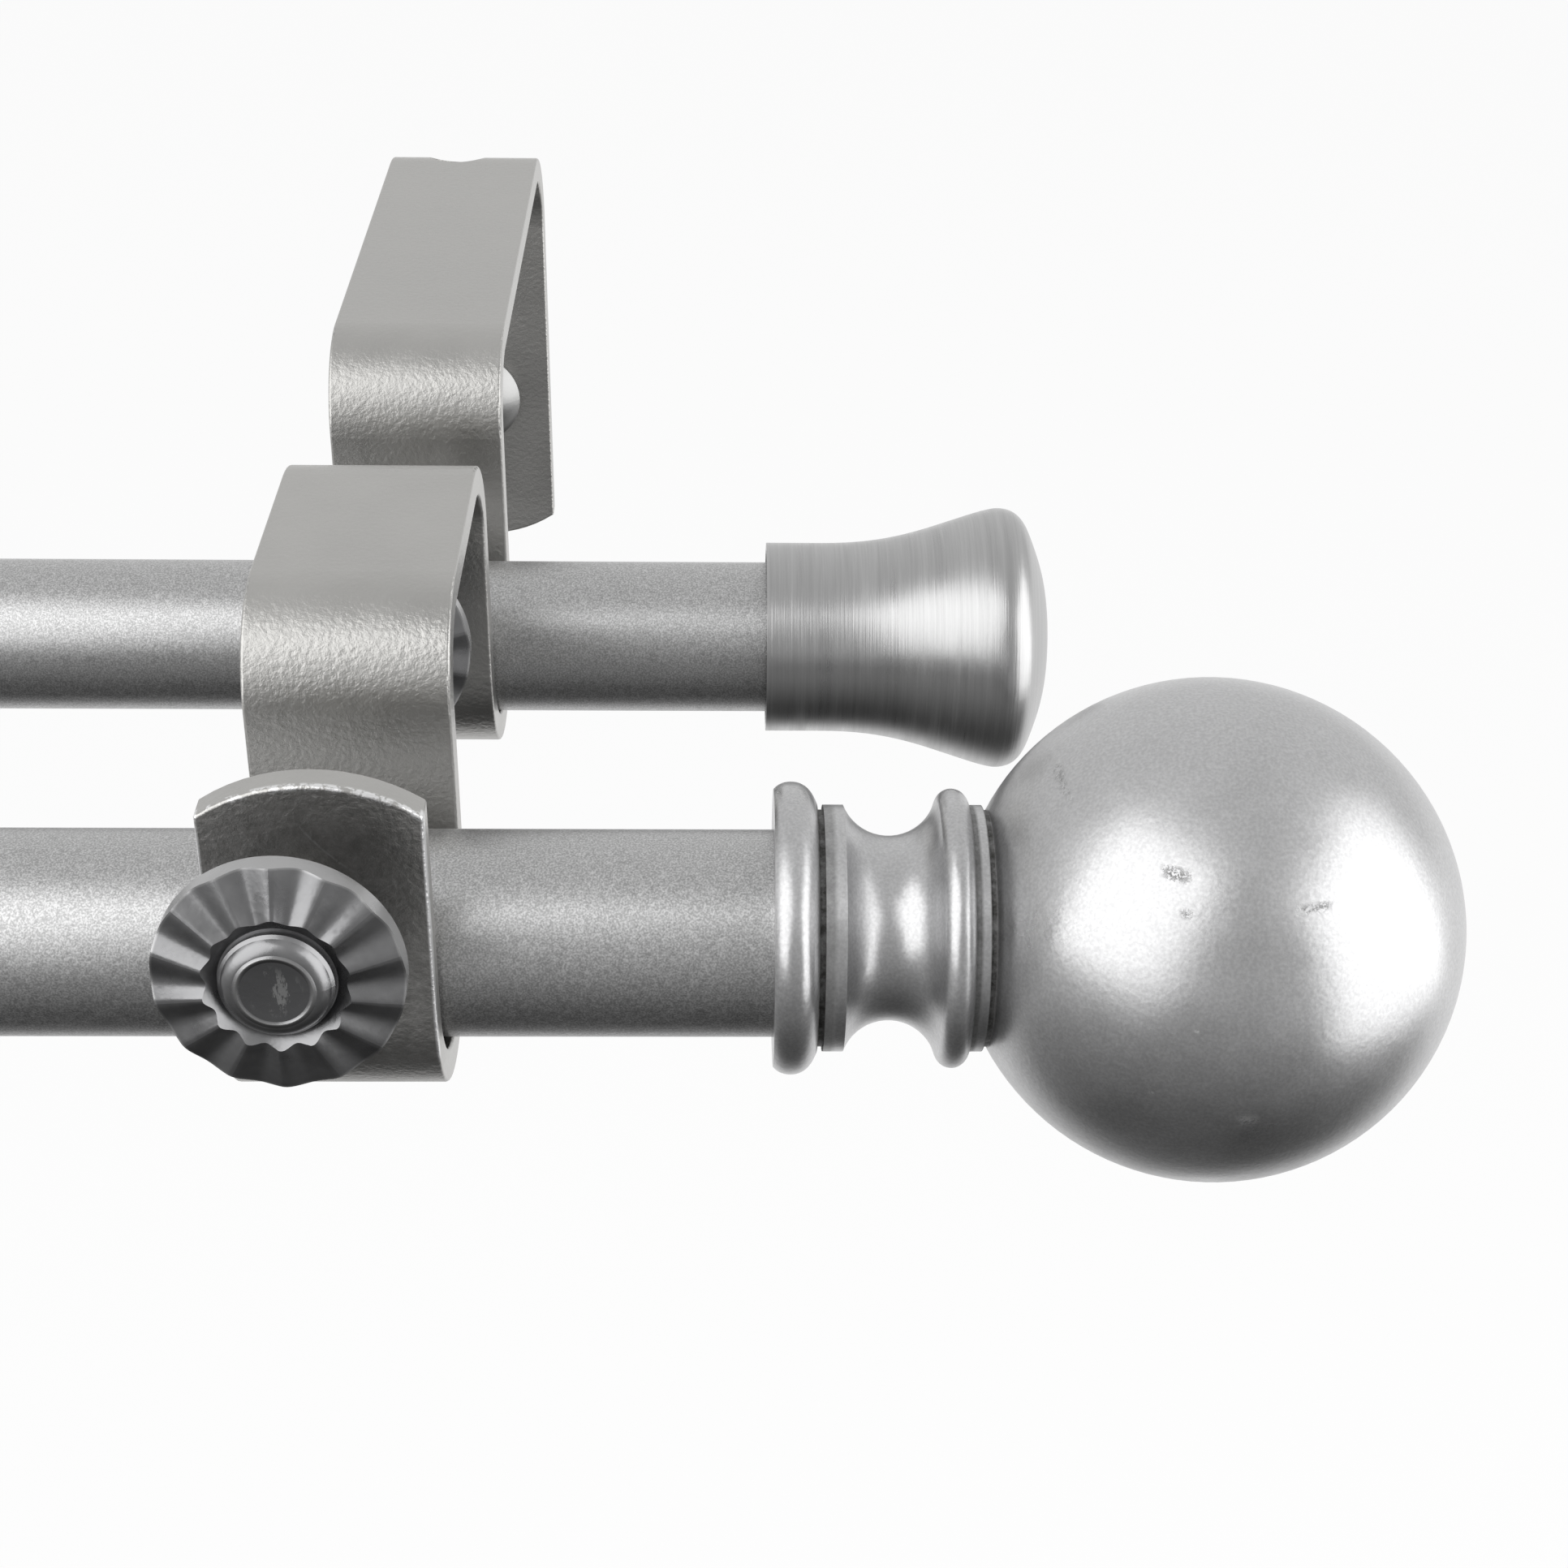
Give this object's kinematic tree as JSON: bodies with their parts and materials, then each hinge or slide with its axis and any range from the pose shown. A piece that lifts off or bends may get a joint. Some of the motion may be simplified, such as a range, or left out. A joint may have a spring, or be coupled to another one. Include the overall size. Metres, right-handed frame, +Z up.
{
  "type": "double curtain pole",
  "caption": "Double telescoping curtain pole on bent strap brackets, with ball finials in front, flared end caps behind and thumbscrews in the cradles.",
  "frame": {"origin": "middle of the four wall screws, on the wall plane", "axes": "+X along the rods to the end that stays, +Y into the wall with the rods at -Y, +Z up"},
  "size_m": [0.8796, 0.2672, 0.0775],
  "materials": {
    "strap_nickel": "satin",
    "cover_nickel": "satin",
    "screw_zinc": "bright",
    "rod_silver": "metallic satin",
    "ball_pewter": "metallic semi-gloss",
    "knob_pewter": "satin",
    "cap_nickel": "brushed",
    "plug_black": "matte"
  },
  "bodies": {
    "fixed": {"bracket_right": "strap_nickel", "upper_wall_screw_right": "screw_zinc", "lower_wall_screw_right": "screw_zinc", "screw_cover_right": "cover_nickel", "bracket_left": "strap_nickel", "upper_wall_screw_left": "screw_zinc", "lower_wall_screw_left": "screw_zinc", "screw_cover_left": "cover_nickel", "front_outer_tube": "rod_silver", "rear_outer_tube": "rod_silver", "ball_finial_right": "ball_pewter", "finial_stud_right": "screw_zinc", "front_plug_right": "plug_black", "end_cap_right": "cap_nickel", "end_sleeve_right": "plug_black"},
    "front_inner": {"front_inner_tube": "rod_silver", "ball_finial_left": "ball_pewter", "finial_stud_left": "screw_zinc", "front_plug_left": "plug_black"},
    "rear_inner": {"rear_inner_tube": "rod_silver", "end_cap_left": "cap_nickel", "end_sleeve_left": "plug_black"},
    "front_stud_right": {"front_screw_stud_right": "screw_zinc"},
    "front_knob_right": {"front_knob_right": "knob_pewter"},
    "front_stud_left": {"front_screw_stud_left": "screw_zinc"},
    "front_knob_left": {"front_knob_left": "knob_pewter"},
    "rear_stud_right": {"rear_screw_stud_right": "screw_zinc"},
    "rear_knob_right": {"rear_knob_right": "knob_pewter"},
    "rear_stud_left": {"rear_screw_stud_left": "screw_zinc"},
    "rear_knob_left": {"rear_knob_left": "knob_pewter"}
  },
  "joints": [
    {"name": "front_rod_draw", "type": "slide", "parent": "fixed", "child": "front_inner", "axis": [-1, 0, 0], "range_m": [0, 0.508]},
    {"name": "rear_rod_draw", "type": "slide", "parent": "fixed", "child": "rear_inner", "axis": [-1, 0, 0], "range_m": [0, 0.508]},
    {"name": "front_screw_travel_right", "type": "slide", "parent": "fixed", "child": "front_stud_right", "axis": [0, -0.9976, 0.0698], "range_m": [0, 0.009]},
    {"name": "front_screw_turn_right", "type": "hinge", "parent": "front_stud_right", "child": "front_knob_right", "pos_m": [0.3024, -0.2178, 0.0132], "axis": [0, -0.9976, 0.0698], "range_deg": [0, 3234]},
    {"name": "front_screw_travel_left", "type": "slide", "parent": "fixed", "child": "front_stud_left", "axis": [0, -0.9976, 0.0698], "range_m": [0, 0.009]},
    {"name": "front_screw_turn_left", "type": "hinge", "parent": "front_stud_left", "child": "front_knob_left", "pos_m": [-0.3046, -0.2178, 0.0132], "axis": [0, -0.9976, 0.0698], "range_deg": [0, 3234]},
    {"name": "rear_screw_travel_right", "type": "slide", "parent": "fixed", "child": "rear_stud_right", "axis": [0, -0.9877, 0.1564], "range_m": [0, 0.009]},
    {"name": "rear_screw_turn_right", "type": "hinge", "parent": "rear_stud_right", "child": "rear_knob_right", "pos_m": [0.3024, -0.1358, 0.0088], "axis": [0, -0.9877, 0.1564], "range_deg": [0, 3234]},
    {"name": "rear_screw_travel_left", "type": "slide", "parent": "fixed", "child": "rear_stud_left", "axis": [0, -0.9877, 0.1564], "range_m": [0, 0.009]},
    {"name": "rear_screw_turn_left", "type": "hinge", "parent": "rear_stud_left", "child": "rear_knob_left", "pos_m": [-0.3046, -0.1358, 0.0088], "axis": [0, -0.9877, 0.1564], "range_deg": [0, 3234]}
  ],
  "couplings": [
    {"joint": "front_screw_travel_right", "follows": "front_screw_turn_right", "m_per_rad": 0.00015915},
    {"joint": "front_screw_travel_left", "follows": "front_screw_turn_left", "m_per_rad": 0.00015915},
    {"joint": "rear_screw_travel_right", "follows": "rear_screw_turn_right", "m_per_rad": 0.00015915},
    {"joint": "rear_screw_travel_left", "follows": "rear_screw_turn_left", "m_per_rad": 0.00015915}
  ]
}
